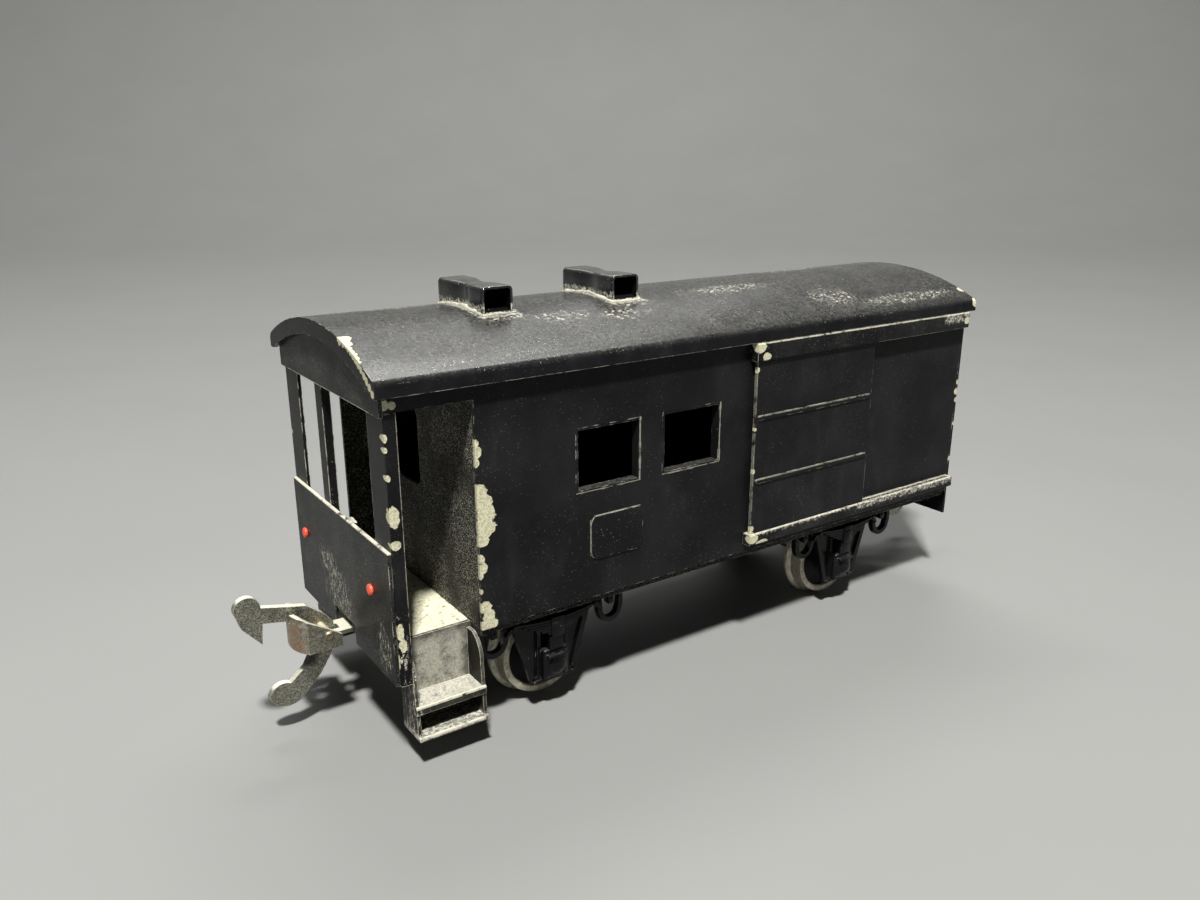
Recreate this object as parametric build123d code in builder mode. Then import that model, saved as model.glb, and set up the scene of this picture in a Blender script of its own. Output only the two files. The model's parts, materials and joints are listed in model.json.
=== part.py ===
from build123d import *
import os

# Two-axle brake and goods van for 16.5 mm track, 1:80 scale.
# Frame: +X towards the goods end (rear), -X towards the open veranda (front),
# -Y is the left side, +Y the right side, +Z up. The origin is on the surface under the
# wheel flanges, midway between the two couplers. All sizes are in millimetres.

# ---------------------------------------------------------------- driving dimensions
body_length = 89.5            # outside, end plate to end plate
body_width = 30.0             # outside, side sheet to side sheet
half_length = body_length / 2
half_width = body_width / 2
sheet = 0.4                   # brass sheet of the walls
floor_top = 14.0              # bottom edge of the side sheets
floor_thickness = 0.8
floor_bottom = floor_top - floor_thickness
end_plate_bottom = 10.3       # the end plates reach below the floor like a buffer beam

# roof
roof_top = 46.7
roof_radius = 36.0
roof_sheet = 0.5
roof_half_width = 16.1
roof_half_length = 45.4
eave_bottom = 41.4
rim_depth = 1.8               # turned-down rim across each end of the roof
arch_centre_z = roof_top - roof_radius
wall_arch_radius = roof_radius - roof_sheet - 0.02
wall_top = 42.85              # side sheets end just under the roof sheet
header_bottom = 39.7          # lower edge of the side sheet above the veranda

# veranda
partition_x = -34.8           # veranda face of the cabin partition
waist_top = 25.25             # top of the closed lower panel
lunette_bottom = 39.3
post_face = 4.4               # width of a corner post seen from the front
post_return = 1.3             # depth of a corner post along the side
middle_post_y = 3.6
middle_post_width = 2.0
middle_post_depth = 1.0
right_jamb = 3.25             # the right side sheet reaches this far past the partition
partition_window_centre = (2.9, 31.1)
partition_window_size = (7.6, 9.6)
lamp_radius = 0.62
lamp_height = 0.35
lamp_centres = {"left_tail_lamp": (-9.3, 19.4), "right_tail_lamp": (11.6, 18.9)}

# cabin windows and pressed panel, on both sides
window_width = 8.9
window_height = 7.6
window_bottom = 27.05
window_centres_x = (-18.1, -6.05)
window_frame_depth = 1.3
window_frame_wall = 0.3
panel_centre = (-17.0, 21.35)
panel_size = (7.3, 5.3)

# sliding door and its rails
door_left = 3.3
door_right = 24.5
door_bottom = 15.9
door_top = 40.15
door_outer_y = 15.9
door_thickness = 0.45
door_rib_heights = (23.6, 31.9)
door_travel = 19.0
doorway_margin = 1.5          # how far the door overlaps the doorway at each side
rail_reach = 16.3             # outer face of both rails, from the middle of the van
rail_gap = 0.07               # running clearance of the door in its grooves
rail_stop = 0.35              # closed end of each groove

# steps
step_well = 11.65             # the veranda floor stops here, from the middle of the van
step_left_x = -43.05
step_right_x = -34.8
upper_tread_top = 7.5
lower_tread_top = 4.0
upper_tread_reach = 15.4
lower_tread_reach = 15.8

# wheelsets, 16.5 mm gauge
wheelbase = 49.0
flange_radius = 6.0
tread_radius = 5.25
axle_radius = 1.0
journal_radius = 0.5
journal_clearance = 0.06
axle_half_length = 11.5
journal_reach = 13.2
wheel_z = flange_radius

# axle guards
guard_inner_y = 12.0
guard_plate = 0.6
guard_top_rail_half = 9.9
spring_half = 5.4

# couplers: u is the distance ahead of the end plate
notch_half_width = 3.2
notch_top = 12.6
pivot_u = -6.0
drawbar_bottom = 11.0
drawbar_top = 11.5
loop_bottom = 10.5
loop_top = 14.6
loop_half_width = 3.2
loop_strip = 0.5
loop_front_u = 6.5
hook_pin_u = 3.0
hook_pin_z = 12.2
hook_pin_radius = 0.5
hook_thickness = 0.8

os.makedirs("parts", exist_ok=True)


def save(piece, name):
    piece.part.label = name
    export_step(piece.part, f"parts/{name}.step")


def ahead(u):
    """X of a point u millimetres ahead of the front end plate."""
    return -half_length - u


# ---------------------------------------------------------------- roof and ventilators
def arch(radius, width, bottom):
    """The area under the roof arch, between two upright sides, down to a level line."""
    with BuildSketch() as area:
        with Locations((0, arch_centre_z)):
            Circle(radius)
        with Locations((0, bottom + radius / 2)):
            Rectangle(width, radius, mode=Mode.INTERSECT)
    return area.sketch


with BuildPart() as roof:
    with BuildSketch(Plane.YZ):
        add(arch(roof_radius, 2 * roof_half_width, eave_bottom))
    extrude(amount=roof_half_length, both=True)
    with BuildSketch(Plane.YZ):
        add(arch(roof_radius - roof_sheet, 2 * (roof_half_width - roof_sheet), eave_bottom - 1))
    extrude(amount=roof_half_length - roof_sheet, both=True, mode=Mode.SUBTRACT)
    with BuildSketch(Plane.YZ):
        add(arch(roof_radius - rim_depth, 2 * (roof_half_width - roof_sheet), eave_bottom - 1))
    extrude(amount=roof_half_length + 1, both=True, mode=Mode.SUBTRACT)
    fillet(roof.edges().filter_by(Axis.X).filter_by_position(Axis.Y, -17, -16)
           .group_by(Axis.Z)[-1], radius=0.9)
    fillet(roof.edges().filter_by(Axis.X).filter_by_position(Axis.Y, 16, 17)
           .group_by(Axis.Z)[-1], radius=0.9)
save(roof, "roof")

vent_width = 3.9
vent_half_length = 5.5
vent_crest = roof_top + 2.65
vent_wall = 0.3
vent_mouth_depth = 2.1
vent_waist_depth = 0.5        # each side is hollowed between the two hoods
vent_waist_half = 2.7
vent_centres_x = {"front_ventilator": -26.4, "rear_ventilator": -9.0}

for vent_name, vent_x in vent_centres_x.items():
    with BuildPart() as ventilator:
        with BuildSketch(Plane.YZ.offset(vent_x - vent_width / 2)):
            with Locations((0, roof_top - 2)):
                Rectangle(2 * vent_half_length, vent_crest - roof_top + 2, align=(Align.CENTER, Align.MIN))
            with Locations((0, arch_centre_z)):
                Circle(roof_radius, mode=Mode.SUBTRACT)
        extrude(amount=vent_width)
        upper_edges = ventilator.edges().group_by(Axis.Z)[-1]
        fillet(upper_edges + ventilator.edges().filter_by(Axis.Z), radius=0.45)
        for side in (-1, 1):
            with BuildSketch(Plane.XZ.offset(side * vent_half_length)):
                with Locations((vent_x, roof_top + 1.0)):
                    RectangleRounded(vent_width - 2 * vent_wall, 2.4, 0.35)
            extrude(amount=-side * vent_mouth_depth, mode=Mode.SUBTRACT)
            with BuildSketch(Plane.XY.offset(roof_top - 3)):
                with BuildLine():
                    ThreePointArc((vent_x + side * vent_width / 2, -vent_waist_half),
                                  (vent_x + side * (vent_width / 2 - vent_waist_depth), 0),
                                  (vent_x + side * vent_width / 2, vent_waist_half))
                    Polyline((vent_x + side * vent_width / 2, vent_waist_half),
                             (vent_x + side * vent_width, vent_waist_half),
                             (vent_x + side * vent_width, -vent_waist_half),
                             (vent_x + side * vent_width / 2, -vent_waist_half))
                make_face()
            extrude(amount=6, mode=Mode.SUBTRACT)
    save(ventilator, vent_name)

# ---------------------------------------------------------------- side sheets
doorway_width = door_right - door_left - 2 * doorway_margin
doorway_bottom = 17.4
doorway_top = 38.4
doorway_x = (door_left + door_right) / 2
header_length = half_length - sheet + partition_x

with BuildPart() as left_side_wall:
    with BuildSketch(Plane.XZ.offset(half_width - sheet)):
        with Locations((partition_x, floor_top)):
            Rectangle(half_length - sheet - partition_x, wall_top - floor_top, align=Align.MIN)
        with Locations((-half_length + sheet, header_bottom)):
            Rectangle(header_length, wall_top - header_bottom, align=Align.MIN)
        with Locations(*[(x, window_bottom + window_height / 2) for x in window_centres_x]):
            Rectangle(window_width, window_height, mode=Mode.SUBTRACT)
        with Locations((doorway_x, (doorway_bottom + doorway_top) / 2)):
            Rectangle(doorway_width, doorway_top - doorway_bottom, mode=Mode.SUBTRACT)
    extrude(amount=sheet)
    with BuildSketch(Plane.XZ.offset(half_width)):
        with Locations(panel_centre):
            RectangleRounded(*panel_size, 1.0)
    extrude(amount=0.15)
save(left_side_wall, "left_side_wall")

with BuildPart() as right_side_wall:
    mirror(left_side_wall.part, about=Plane.XZ)
    with BuildSketch(Plane.XZ.offset(-half_width)):
        with Locations((partition_x - right_jamb, floor_top)):
            Rectangle(right_jamb, header_bottom - floor_top, align=Align.MIN)
    extrude(amount=sheet)
save(right_side_wall, "right_side_wall")

for number, window_x in enumerate(window_centres_x, start=1):
    with BuildPart() as left_window_frame:
        with BuildSketch(Plane.XZ.offset(half_width - window_frame_depth)):
            with Locations((window_x, window_bottom + window_height / 2)):
                Rectangle(window_width - 0.04, window_height - 0.04)
                Rectangle(window_width - 2 * window_frame_wall, window_height - 2 * window_frame_wall,
                          mode=Mode.SUBTRACT)
        extrude(amount=window_frame_depth)
    save(left_window_frame, f"left_window_frame_{number}")
    with BuildPart() as right_window_frame:
        mirror(left_window_frame.part, about=Plane.XZ)
    save(right_window_frame, f"right_window_frame_{number}")

# ---------------------------------------------------------------- end plates, posts, partition, floor
def coupler_notch():
    """Opening in the lower edge of an end plate, where the drawbar swings."""
    with BuildSketch() as area:
        with Locations((0, end_plate_bottom)):
            Rectangle(2 * notch_half_width, 2 * (notch_top - end_plate_bottom))
    return area.sketch


with BuildPart() as veranda_end_plate:
    with BuildSketch(Plane.YZ.offset(-half_length)):
        with Locations((0, end_plate_bottom)):
            Rectangle(body_width - 2 * sheet, waist_top - end_plate_bottom, align=(Align.CENTER, Align.MIN))
        add(coupler_notch(), mode=Mode.SUBTRACT)
    extrude(amount=sheet)
save(veranda_end_plate, "veranda_end_plate")

with BuildPart() as veranda_lunette:
    with BuildSketch(Plane.YZ.offset(-half_length)):
        add(arch(wall_arch_radius, body_width, lunette_bottom))
    extrude(amount=sheet)
save(veranda_lunette, "veranda_lunette")

with BuildPart() as left_corner_post:
    with BuildSketch(Plane.XY.offset(end_plate_bottom)) as post_section:
        with Locations((-half_length + sheet, -half_width)):
            Rectangle(sheet, post_face, align=Align.MIN)
            Rectangle(post_return, sheet, align=Align.MIN)
        fillet(post_section.vertices().sort_by(Axis.X)[:2].sort_by(Axis.Y)[0], radius=0.3)
    extrude(amount=header_bottom - 0.05 - end_plate_bottom)
save(left_corner_post, "left_corner_post")

with BuildPart() as right_corner_post:
    mirror(left_corner_post.part, about=Plane.XZ)
save(right_corner_post, "right_corner_post")

with BuildPart() as veranda_middle_post:
    with BuildSketch(Plane.XY.offset(waist_top - 1.2)):
        with Locations((-half_length + sheet + middle_post_depth / 2, middle_post_y)):
            Rectangle(middle_post_depth, middle_post_width)
    extrude(amount=lunette_bottom + 0.8 - (waist_top - 1.2))
save(veranda_middle_post, "veranda_middle_post")

with BuildPart() as goods_end_wall:
    with BuildSketch(Plane.YZ.offset(half_length - sheet)):
        add(arch(wall_arch_radius, body_width, end_plate_bottom))
        add(coupler_notch(), mode=Mode.SUBTRACT)
    extrude(amount=sheet)
save(goods_end_wall, "goods_end_wall")

with BuildPart() as cabin_partition:
    with BuildSketch(Plane.YZ.offset(partition_x)):
        add(arch(wall_arch_radius, body_width - 2 * sheet, floor_top))
        with Locations(partition_window_centre):
            RectangleRounded(*partition_window_size, 1.4, mode=Mode.SUBTRACT)
    extrude(amount=sheet)
save(cabin_partition, "cabin_partition")

pivot_x = -half_length - pivot_u
screw_thread_radius = 0.9

with BuildPart() as floor_plate:
    with BuildSketch(Plane.XY.offset(floor_bottom)):
        with Locations((partition_x + sheet, 0)):
            Rectangle(half_length - sheet - (partition_x + sheet), body_width - 2 * sheet,
                      align=(Align.MIN, Align.CENTER))
        with Locations((-pivot_x, 0)):
            Circle(screw_thread_radius + 0.02, mode=Mode.SUBTRACT)
    extrude(amount=floor_thickness)
save(floor_plate, "floor_plate")

with BuildPart() as veranda_floor:
    with BuildSketch(Plane.XY.offset(floor_bottom)):
        with Locations((-half_length + sheet, 0)):
            Rectangle(sheet, body_width - 2 * (post_face + 0.05), align=(Align.MIN, Align.CENTER))
        with Locations((-half_length + 2 * sheet, 0)):
            Rectangle(partition_x + half_length - 2 * sheet, 2 * step_well, align=(Align.MIN, Align.CENTER))
        with Locations((partition_x, 0)):
            Rectangle(sheet, body_width - 2 * sheet, align=(Align.MIN, Align.CENTER))
        with Locations((pivot_x, 0)):
            Circle(screw_thread_radius + 0.02, mode=Mode.SUBTRACT)
    extrude(amount=floor_thickness)
save(veranda_floor, "veranda_floor")

for lamp_name, lamp_centre in lamp_centres.items():
    with BuildPart() as tail_lamp:
        with BuildSketch(Plane.YZ.offset(-half_length)):
            with Locations(lamp_centre):
                Circle(lamp_radius)
        extrude(amount=-lamp_height)
        fillet(tail_lamp.faces().sort_by(Axis.X)[0].edges(), radius=0.2)
    save(tail_lamp, lamp_name)

# ---------------------------------------------------------------- doors and rails
with BuildPart() as left_door:
    with BuildSketch(Plane.XZ.offset(door_outer_y - door_thickness)):
        with Locations((door_left, door_bottom)):
            Rectangle(door_right - door_left, door_top - door_bottom, align=Align.MIN)
    extrude(amount=door_thickness)
    with BuildSketch(Plane.XZ.offset(door_outer_y)):
        with Locations(*[(doorway_x, height) for height in door_rib_heights]):
            SlotOverall(door_right - door_left - 0.8, 0.55)
    extrude(amount=0.2)
save(left_door, "left_door")

with BuildPart() as right_door:
    mirror(left_door.part, about=Plane.XZ)
save(right_door, "right_door")

groove_outer = door_outer_y + rail_gap
groove_width = door_thickness + 2 * rail_gap
groove_left = door_left - 0.05
groove_right = door_right + door_travel + 0.05


def rail(bottom, top, groove_from, groove_to):
    """A square bar along the left side with a groove that holds one edge of the door."""
    with BuildPart() as bar:
        with BuildSketch(Plane.XY.offset(bottom)):
            with Locations((groove_left - rail_stop, -rail_reach)):
                Rectangle(groove_right - groove_left + 2 * rail_stop, rail_reach - half_width,
                          align=Align.MIN)
        extrude(amount=top - bottom)
        fillet(bar.edges().filter_by(Axis.X).group_by(Axis.Y)[0], radius=0.2)
        with BuildSketch(Plane.XY.offset(groove_from)):
            with Locations((groove_left, -groove_outer)):
                Rectangle(groove_right - groove_left, groove_width, align=Align.MIN)
        extrude(amount=groove_to - groove_from, mode=Mode.SUBTRACT)
    return bar.part


with BuildPart() as left_upper_rail:
    add(rail(39.1, eave_bottom - 0.05, 39.0, door_top + 0.1))
save(left_upper_rail, "left_upper_rail")

with BuildPart() as right_upper_rail:
    mirror(left_upper_rail.part, about=Plane.XZ)
save(right_upper_rail, "right_upper_rail")

with BuildPart() as left_lower_rail:
    add(rail(15.1, 16.6, door_bottom - 0.05, 16.7))
save(left_lower_rail, "left_lower_rail")

with BuildPart() as right_lower_rail:
    mirror(left_lower_rail.part, about=Plane.XZ)
save(right_lower_rail, "right_lower_rail")

# ---------------------------------------------------------------- steps
step_bottom = lower_tread_top - sheet
cheek_top = 13.3

with BuildPart() as left_steps:
    with BuildSketch(Plane.YZ.offset(step_left_x)) as folded_sheet:
        with Locations((-step_well - sheet, step_bottom)):
            Rectangle(sheet, floor_top - step_bottom, align=Align.MIN)
        with Locations((-upper_tread_reach, upper_tread_top - sheet)):
            Rectangle(upper_tread_reach - step_well, sheet, align=Align.MIN)
        with Locations((-upper_tread_reach, upper_tread_top - 0.9)):
            Rectangle(sheet, 0.9, align=Align.MIN)
        with Locations((-lower_tread_reach, step_bottom)):
            Rectangle(lower_tread_reach - step_well, sheet, align=Align.MIN)
    extrude(amount=step_right_x - step_left_x)
    for cheek_x in (step_left_x, step_right_x - sheet):
        with BuildSketch(Plane.YZ.offset(cheek_x)):
            with BuildLine():
                Line((-step_well, step_bottom), (-step_well, cheek_top))
                Line((-step_well, cheek_top), (-13.2, cheek_top))
                ThreePointArc((-13.2, cheek_top), (-14.45, 12.3), (-14.95, 10.2))
                Line((-14.95, 10.2), (-upper_tread_reach, step_bottom))
                Line((-upper_tread_reach, step_bottom), (-step_well, step_bottom))
            make_face()
        extrude(amount=sheet)
save(left_steps, "left_steps")

with BuildPart() as right_steps:
    mirror(left_steps.part, about=Plane.XZ)
save(right_steps, "right_steps")

# ---------------------------------------------------------------- wheelsets
def wheel_plane(axle_x):
    """Local x runs along the axle (+Y), local y is the height above the axle."""
    return Plane(origin=(axle_x, 0, wheel_z), x_dir=(0, 1, 0), z_dir=(1, 0, 0))


wheel_section = [
    (6.9, axle_radius), (6.9, 1.9), (8.2, 1.9), (8.2, 4.4), (7.2, 4.4), (7.2, 5.75), (7.4, flange_radius),
    (7.75, flange_radius), (8.1, tread_radius + 0.08), (10.0, tread_radius - 0.03), (10.0, 4.4),
    (9.2, 4.2), (9.2, 1.9), (10.3, 1.7), (10.3, axle_radius),
]

for end_name, axle_x in (("front", -wheelbase / 2), ("rear", wheelbase / 2)):
    with BuildPart() as right_wheel:
        with BuildSketch(wheel_plane(axle_x)):
            with BuildLine():
                Polyline(*wheel_section, close=True)
            make_face()
        revolve(axis=Axis((axle_x, 0, wheel_z), (0, 1, 0)))
    save(right_wheel, f"{end_name}_right_wheel")
    with BuildPart() as left_wheel:
        mirror(right_wheel.part, about=Plane.XZ)
    save(left_wheel, f"{end_name}_left_wheel")
    with BuildPart() as axle:
        with BuildSketch(wheel_plane(axle_x)):
            with BuildLine():
                Polyline((0, 0), (0, axle_radius), (axle_half_length - 0.5, axle_radius),
                         (axle_half_length, journal_radius), (journal_reach - 0.3, journal_radius),
                         (journal_reach, 0.2), (journal_reach, 0), close=True)
            make_face()
        revolve(axis=Axis((axle_x, 0, wheel_z), (0, 1, 0)))
        mirror(axle.part, about=Plane.XZ)
    save(axle, f"{end_name}_axle")

# ---------------------------------------------------------------- axle guards with springs and axleboxes
guard_rail_bottom = floor_bottom - 0.7


def mirrored_in_x(points):
    return [(-x, z) for x, z in reversed(points)]


def guard_face(axle_x):
    """Inner face of a left axle guard: local x along the van, local y upward."""
    return Plane(origin=(axle_x, -guard_inner_y, 0), x_dir=(1, 0, 0), z_dir=(0, -1, 0))


def axlebox(axle_x):
    """The rounded box that stands out from a left axle guard."""
    with BuildPart() as casting:
        with BuildSketch(guard_face(axle_x).offset(guard_plate)):
            with Locations((0, wheel_z + 0.1)):
                RectangleRounded(3.5, 4.0, 0.9)
        extrude(amount=1.8)
        fillet(casting.faces().sort_by(Axis.Y)[0].edges(), radius=0.85)
    return casting.part


def axle_guard(axle_x):
    """One casting of the left side: guard plate, leaf spring, axlebox and two spring hangers."""
    face = guard_face(axle_x)
    outline = [(3.1, 3.7), (3.1, 4.4), (5.6, 11.0), (5.6, floor_bottom)]
    box_casting = axlebox(axle_x)
    with BuildPart() as guard:
        with BuildSketch(face):
            with BuildLine():
                Polyline(*outline, *mirrored_in_x(outline), close=True)
            make_face()
            for side in (-1, 1):
                with BuildLine():
                    Polyline((side * 2.3, 5.4), (side * 2.3, 10.9), (side * 4.4, 10.9), close=True)
                make_face(mode=Mode.SUBTRACT)
        extrude(amount=guard_plate)
        with BuildSketch(face):
            with Locations((0, (guard_rail_bottom + floor_bottom) / 2)):
                Rectangle(2 * guard_top_rail_half, floor_bottom - guard_rail_bottom)
        extrude(amount=1.4)
        with BuildSketch(face.offset(guard_plate)):
            with BuildLine():
                ThreePointArc((-spring_half, 11.2), (0, 9.7), (spring_half, 11.2))
                Line((spring_half, 11.2), (spring_half, 12.6))
                ThreePointArc((spring_half, 12.6), (0, 11.9), (-spring_half, 12.6))
                Line((-spring_half, 12.6), (-spring_half, 11.2))
            make_face()
            with Locations((0, 9.9)):
                Rectangle(1.8, 4.4)
        extrude(amount=1.1)
        for side in (-1, 1):
            with BuildSketch(face.offset(0.2)):
                with Locations((side * 7.9, 10.9)):
                    SlotOverall(4.0, 3.6, rotation=90)
                    with Locations((0, 1.0)):
                        Rectangle(4.0, 1.9)
                with Locations((side * 7.4, 11.1)):
                    Rectangle(1.6, 2.2, mode=Mode.SUBTRACT)
                with Locations((side * 9.1, 11.4)):
                    Rectangle(0.6, 1.6, mode=Mode.SUBTRACT)
            extrude(amount=0.9)
        add(box_casting)
        with BuildSketch(face):
            with Locations((0, wheel_z)):
                Circle(journal_radius + journal_clearance)
        extrude(amount=journal_reach + 0.15 - guard_inner_y, mode=Mode.SUBTRACT)
    return guard.part


for end_name, axle_x in (("front", -wheelbase / 2), ("rear", wheelbase / 2)):
    with BuildPart() as left_axle_guard:
        add(axle_guard(axle_x))
    save(left_axle_guard, f"{end_name}_left_axle_guard")
    with BuildPart() as right_axle_guard:
        mirror(left_axle_guard.part, about=Plane.XZ)
    save(right_axle_guard, f"{end_name}_right_axle_guard")

# ---------------------------------------------------------------- couplers
screw_head_radius = 1.9
screw_head_bottom = 10.2
collar_radius = 1.8
shoulder_radius = 1.0
running_gap = 0.06

with BuildPart() as front_drawbar:
    with BuildSketch(Plane.XY.offset(drawbar_bottom)):
        with Locations((pivot_x, 0)):
            Circle(2.2)
        with Locations((pivot_x, 0)):
            Rectangle(1.5 - pivot_u, 3.0, align=(Align.MAX, Align.CENTER))
        with Locations((ahead(1.5), 0)):
            Rectangle(1.1, 2 * loop_half_width, align=(Align.MAX, Align.CENTER))
        with Locations((ahead(0.9), 0)):
            Rectangle(2.0, 1.2, align=(Align.MAX, Align.CENTER), mode=Mode.SUBTRACT)
        with Locations((pivot_x, 0)):
            Circle(shoulder_radius + running_gap, mode=Mode.SUBTRACT)
    extrude(amount=drawbar_top - drawbar_bottom)
    with BuildSketch(Plane.XY.offset(loop_bottom)):
        for inset, mode in ((0, Mode.ADD), (loop_strip, Mode.SUBTRACT)):
            half = loop_half_width - inset
            front = loop_front_u - inset
            with BuildLine():
                Line((ahead(1.5), -half), (ahead(front - 1.2), -half))
                ThreePointArc((ahead(front - 1.2), -half), (ahead(front), 0), (ahead(front - 1.2), half))
                Line((ahead(front - 1.2), half), (ahead(1.5), half))
                Line((ahead(1.5), half), (ahead(1.5), -half))
            make_face(mode=mode)
    extrude(amount=loop_top - loop_bottom)
    with BuildSketch(Plane.XZ):
        with Locations((ahead(hook_pin_u), hook_pin_z)):
            Circle(hook_pin_radius + 0.02)
        with BuildLine():
            ThreePointArc((ahead(5.7), loop_top), (ahead(3.9), 13.55), (ahead(1.4), 11.9))
            Polyline((ahead(1.4), 11.9), (ahead(1.4), loop_top + 1), (ahead(5.7), loop_top + 1),
                     (ahead(5.7), loop_top))
        make_face()
    extrude(amount=loop_half_width + 1, both=True, mode=Mode.SUBTRACT)
    with BuildSketch(Plane.XY.offset(13.55)):
        with Locations((ahead(loop_front_u - 0.4), 0)):
            Rectangle(1.6, hook_thickness + 0.4)
    extrude(amount=2, mode=Mode.SUBTRACT)
save(front_drawbar, "front_drawbar")

with BuildPart() as front_hook:
    with BuildSketch(Plane.XZ) as hook_outline:
        with BuildLine():
            Polyline((ahead(9.3), 16.2), (ahead(4.4), 15.1), (ahead(2.6), 13.7), (ahead(1.5), 12.4),
                     (ahead(1.3), 10.4), (ahead(2.1), 8.4), (ahead(3.4), 6.4), (ahead(5.6), 4.2))
            ThreePointArc((ahead(5.6), 4.2), (ahead(8.6), 3.9), (ahead(9.4), 5.0))
            ThreePointArc((ahead(9.4), 5.0), (ahead(8.6), 6.2), (ahead(6.9), 6.2))
            Polyline((ahead(6.9), 6.2), (ahead(5.2), 7.7), (ahead(3.8), 10.2), (ahead(4.1), 11.6),
                     (ahead(5.7), 13.65), (ahead(9.25), 14.3), (ahead(9.5), 11.85), (ahead(11.5), 14.2),
                     (ahead(12.15), 16.3))
            ThreePointArc((ahead(12.15), 16.3), (ahead(10.8), 17.75), (ahead(9.3), 16.2))
        make_face()
        with Locations((ahead(hook_pin_u), hook_pin_z)):
            Circle(hook_pin_radius + running_gap, mode=Mode.SUBTRACT)
    extrude(amount=hook_thickness / 2, both=True)
save(front_hook, "front_hook")

with BuildPart() as front_hook_pin:
    with BuildSketch(Plane.XZ):
        with Locations((ahead(hook_pin_u), hook_pin_z)):
            Circle(hook_pin_radius)
    extrude(amount=loop_half_width + 0.25, both=True)
    chamfer(front_hook_pin.edges().filter_by(GeomType.CIRCLE), length=0.12)
save(front_hook_pin, "front_hook_pin")

with BuildPart() as front_pivot_screw:
    with BuildSketch(Plane.XZ):
        with BuildLine():
            Polyline((pivot_x, screw_head_bottom), (pivot_x + screw_head_radius - 0.4, screw_head_bottom),
                     (pivot_x + screw_head_radius, screw_head_bottom + 0.3),
                     (pivot_x + screw_head_radius, drawbar_bottom - running_gap),
                     (pivot_x + shoulder_radius, drawbar_bottom - running_gap),
                     (pivot_x + shoulder_radius, drawbar_top + running_gap),
                     (pivot_x + collar_radius, drawbar_top + running_gap),
                     (pivot_x + collar_radius, floor_bottom), (pivot_x + screw_thread_radius, floor_bottom),
                     (pivot_x + screw_thread_radius, floor_top), (pivot_x, floor_top), close=True)
        make_face()
    revolve(axis=Axis((pivot_x, 0, 0), (0, 0, 1)))
    with BuildSketch(Plane.XY.offset(screw_head_bottom)):
        with Locations((pivot_x, 0)):
            Rectangle(2 * screw_head_radius, 0.5)
    extrude(amount=0.3, mode=Mode.SUBTRACT)
save(front_pivot_screw, "front_pivot_screw")

front_coupler = {"drawbar": front_drawbar, "hook": front_hook, "hook_pin": front_hook_pin,
                 "pivot_screw": front_pivot_screw}
for piece_name, front_piece in front_coupler.items():
    with BuildPart() as rear_piece:
        mirror(front_piece.part, about=Plane.YZ)
    save(rear_piece, f"rear_{piece_name}")
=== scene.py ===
import json
import math

import bmesh
import bpy
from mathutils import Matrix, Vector


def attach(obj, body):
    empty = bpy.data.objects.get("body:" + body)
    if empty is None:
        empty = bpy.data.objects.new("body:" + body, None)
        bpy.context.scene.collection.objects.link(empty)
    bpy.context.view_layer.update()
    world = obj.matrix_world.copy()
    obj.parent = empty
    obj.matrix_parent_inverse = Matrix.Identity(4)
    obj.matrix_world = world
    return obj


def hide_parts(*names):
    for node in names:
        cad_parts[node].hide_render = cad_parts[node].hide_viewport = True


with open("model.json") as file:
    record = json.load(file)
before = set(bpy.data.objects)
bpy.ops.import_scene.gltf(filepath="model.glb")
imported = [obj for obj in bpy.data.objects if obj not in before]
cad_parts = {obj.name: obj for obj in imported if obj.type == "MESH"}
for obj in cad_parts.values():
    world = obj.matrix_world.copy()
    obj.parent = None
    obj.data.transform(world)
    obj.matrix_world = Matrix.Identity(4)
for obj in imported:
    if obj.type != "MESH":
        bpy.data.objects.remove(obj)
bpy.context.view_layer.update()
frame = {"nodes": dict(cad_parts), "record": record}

nodes = frame["nodes"]
MM = 0.001
vent_centres = {"front_ventilator": -26.4, "rear_ventilator": -9.0}


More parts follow.
